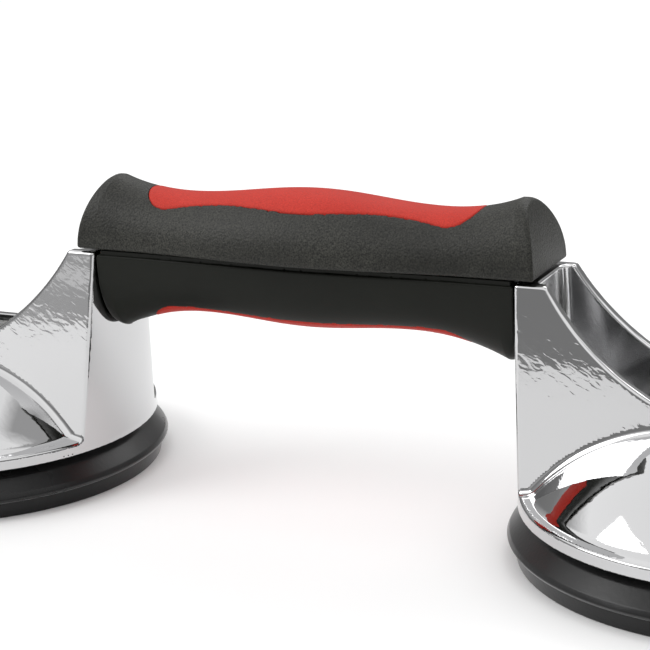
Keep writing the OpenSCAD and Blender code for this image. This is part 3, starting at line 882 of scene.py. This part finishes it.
def lever_field(x, y, z):
    """One lever, with its pin at x = 0 and its arm towards +X."""
    z = z - PIN_Z
    arc = np.hypot(x - ARM_X, z + ARM_R - HUB_R) - ARM_R
    below = -10.4 - 0.0041 * (x - 14) ** 2 - z
    fade = np.clip(1 - np.abs(x - PAD_X) / 8, 0, 1) ** 0.5
    ribs = 0.35 * np.cos(2 * np.pi * (x - PAD_X) / RIB_SPACING) * fade
    dish = 0.6 * np.clip(1 - ((x - 34) / 18) ** 2, 0, 1)
    arm = meet(arc + dish - ribs * (np.abs(y) < 9), below, 1.4)
    arm = np.maximum(arm, 2 - x)
    hub = np.maximum(cam_field(x, z), arc)
    profile = np.minimum(arm, np.maximum(hub, x - 9))
    tip = np.hypot(np.maximum(x - LEVER_TIP + LEVER_W, 0), y) - LEVER_W
    solid = meet(profile, tip, 1.5)
    slot = np.maximum(np.abs(y) - EAR_GAP, x - EAR_FRONT)
    pocket = np.maximum(np.abs(y) - LEVER_W + WALL, np.maximum(POCKET_START - x, arc + 4.2))
    pocket = np.maximum(pocket, x - POCKET_END)
    hole = np.hypot(x, z) - PIN_R
    return minus(minus(solid, slot, 0.5), np.minimum(pocket, hole), 0.4)


def make_levers():
    low = (-13, -LEVER_W - 0.5, PIN_Z - 20)
    high = (LEVER_TIP + 1, LEVER_W + 0.5, PIN_Z + HUB_R + 1)
    shape = surface(lever_field, low, high, LEVER_PITCH)
    for side, sign in SIDES.items():
        make_piece(f"{side}_lever_moulding", shape if sign > 0 else mirrored(shape), NYLON,
                   f"{side}_flip_lever", (sign * HEAD_X, 0, 0), [f"{side}_lever"])


# ---------------------------------------------------------------- CAD parts that stay

def finish_nodes():
    """Gives the CAD parts that show as they are their materials."""
    shared = {"handle_core": CAST, "grip_screws": STEEL}
    per_side = {"bracket_bolts": DARK_STEEL, "guide_bush": BUSH, "wear_plate": STEEL,
                "core_plate": STEEL, "stem": STEEL, "lever_pin": STEEL, "pin_clip": DARK_STEEL}
    finishes = dict(shared)
    for side in SIDES:
        finishes.update({f"{side}_{part}": material for part, material in per_side.items()})
    for name, material in finishes.items():
        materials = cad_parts[name].data.materials
        materials.clear()
        materials.append(material)


# ---------------------------------------------------------------- studio

def card(name, size, place, facing, level, soft=0.0):
    """A glowing card that shows only in reflections; soft is the faded share of its half width."""
    mesh = bpy.data.meshes.new(name)
    w, h = size[0] / 2, size[1] / 2
    mesh.from_pydata([(-w, -h, 0), (w, -h, 0), (w, h, 0), (-w, h, 0)], [], [(0, 1, 2, 3)])
    n = Nodes(name)
    n.tree.nodes.remove(n.shader)
    glow = n.add("ShaderNodeEmission")
    glow.inputs["Color"].default_value = (level, level, level, 1)
    shown = glow.outputs[0]
    if soft:
        fade_x = n.span(n.maths("ABSOLUTE", n.axis("X")), w * (1 - soft), w, 1, 0)
        fade_y = n.span(n.maths("ABSOLUTE", n.axis("Y")), h * (1 - soft), h, 1, 0)
        mix = n.add("ShaderNodeMixShader")
        n.put(mix, 0, n.maths("MULTIPLY", fade_x, fade_y))
        n.put(mix, 1, n.add("ShaderNodeBsdfTransparent").outputs[0])
        n.put(mix, 2, shown)
        shown = mix.outputs[0]
    n.put(n.tree.nodes["Material Output"], "Surface", shown)
    mesh.materials.append(n.material)
    piece = bpy.data.objects.new(name, mesh)
    bpy.context.scene.collection.objects.link(piece)
    piece.location = place
    piece.rotation_mode = "QUATERNION"
    piece.rotation_quaternion = (Vector(facing) - Vector(place)).to_track_quat("Z", "Y")
    piece.visible_camera = False
    piece.visible_shadow = False
    piece.visible_diffuse = False


def make_floor():
    """A wide matt floor, nearly white."""
    n = Nodes("pale_floor")
    n.shader.inputs["Base Color"].default_value = (0.93, 0.93, 0.93, 1)
    n.shader.inputs["Specular IOR Level"].default_value = 0.2
    rough = n.span(n.noise(6, 2.0, 0.5), 0.3, 0.7, 0.52, 0.56)
    material = n.finish(None, rough, None)
    mesh = bpy.data.meshes.new("floor")
    reach = 7
    mesh.from_pydata([(-reach, -reach, 0), (reach, -reach, 0), (reach, reach, 0), (-reach, reach, 0)],
                     [], [(0, 1, 2, 3)])
    mesh.materials.append(material)
    floor = bpy.data.objects.new("floor", mesh)
    bpy.context.scene.collection.objects.link(floor)


def make_world():
    """A white tent overhead that darkens towards the horizon; the camera sees a pale backdrop."""
    world = bpy.data.worlds.new("studio")
    world.use_nodes = True
    bpy.context.scene.world = world
    tree = world.node_tree
    tree.nodes.clear()
    place = tree.nodes.new("ShaderNodeTexCoord")
    split = tree.nodes.new("ShaderNodeSeparateXYZ")
    ramp = tree.nodes.new("ShaderNodeValToRGB")
    glow = tree.nodes.new("ShaderNodeBackground")
    pale = tree.nodes.new("ShaderNodeBackground")
    path = tree.nodes.new("ShaderNodeLightPath")
    mix = tree.nodes.new("ShaderNodeMixShader")
    out = tree.nodes.new("ShaderNodeOutputWorld")
    tree.links.new(place.outputs["Generated"], split.inputs[0])
    tree.links.new(split.outputs["Z"], ramp.inputs["Fac"])
    stops = ramp.color_ramp.elements
    stops[0].position, stops[0].color = 0.0, (0.16, 0.16, 0.16, 1)
    stops[1].position, stops[1].color = 1.0, (0.9, 0.9, 0.9, 1)
    for position, level in ((0.30, 0.22), (0.46, 0.42), (0.58, 1.0)):
        stop = stops.new(position)
        stop.color = (level, level, level, 1)
    tree.links.new(ramp.outputs["Color"], glow.inputs["Color"])
    glow.inputs["Strength"].default_value = 1.3
    pale.inputs["Color"].default_value = (1.0, 1.0, 1.0, 1)
    tree.links.new(path.outputs["Is Camera Ray"], mix.inputs[0])
    tree.links.new(glow.outputs[0], mix.inputs[1])
    tree.links.new(pale.outputs[0], mix.inputs[2])
    tree.links.new(mix.outputs[0], out.inputs[0])


def softbox(name, place, size, power):
    """An area lamp aimed at the handle."""
    data = bpy.data.lights.new(name, "AREA")
    data.shape = "RECTANGLE"
    data.size, data.size_y = size
    data.energy = power
    lamp = bpy.data.objects.new(name, data)
    bpy.context.scene.collection.objects.link(lamp)
    lamp.location = place
    lamp.rotation_mode = "QUATERNION"
    lamp.rotation_quaternion = (Vector((0, 0, 0.05)) - Vector(place)).to_track_quat("-Z", "Y")
    return lamp


def make_studio():
    """Floor, tent, two soft lamps, and the grey cards that the chrome mirrors."""
    make_floor()
    make_world()
    softbox("key", (-1.1, -0.65, 1.05), (1.0, 0.8), 9)
    softbox("back", (0.2, 1.3, 1.2), (1.2, 0.6), 5)
    wall = -0.92
    for name, left, right, low, high, level in (
            ("front_dark", -0.42, 1.6, 0.0, 0.30, 0.285),
            ("front_left_low", -2.2, -0.42, 0.0, 0.030, 0.52),
            ("front_left_mid", -2.2, -0.42, 0.030, 0.046, 0.85),
            ("front_left_high", -2.2, -0.42, 0.046, 0.30, 0.50)):
        middle = ((left + right) / 2, wall, (low + high) / 2)
        card(name, (right - left, high - low), middle, (middle[0], 0, middle[2]), level)
    card("side_grey", (1.05, 1.05), (0.65, 0.38, 1.41), (-0.07, -0.03, 0.02), 0.5, 0.4)
    scene = bpy.context.scene
    scene.view_settings.view_transform = "Standard"
    scene.view_settings.look = "None"


make_heads()
make_handle()
make_cups()
make_springs()
make_levers()
finish_nodes()
make_studio()
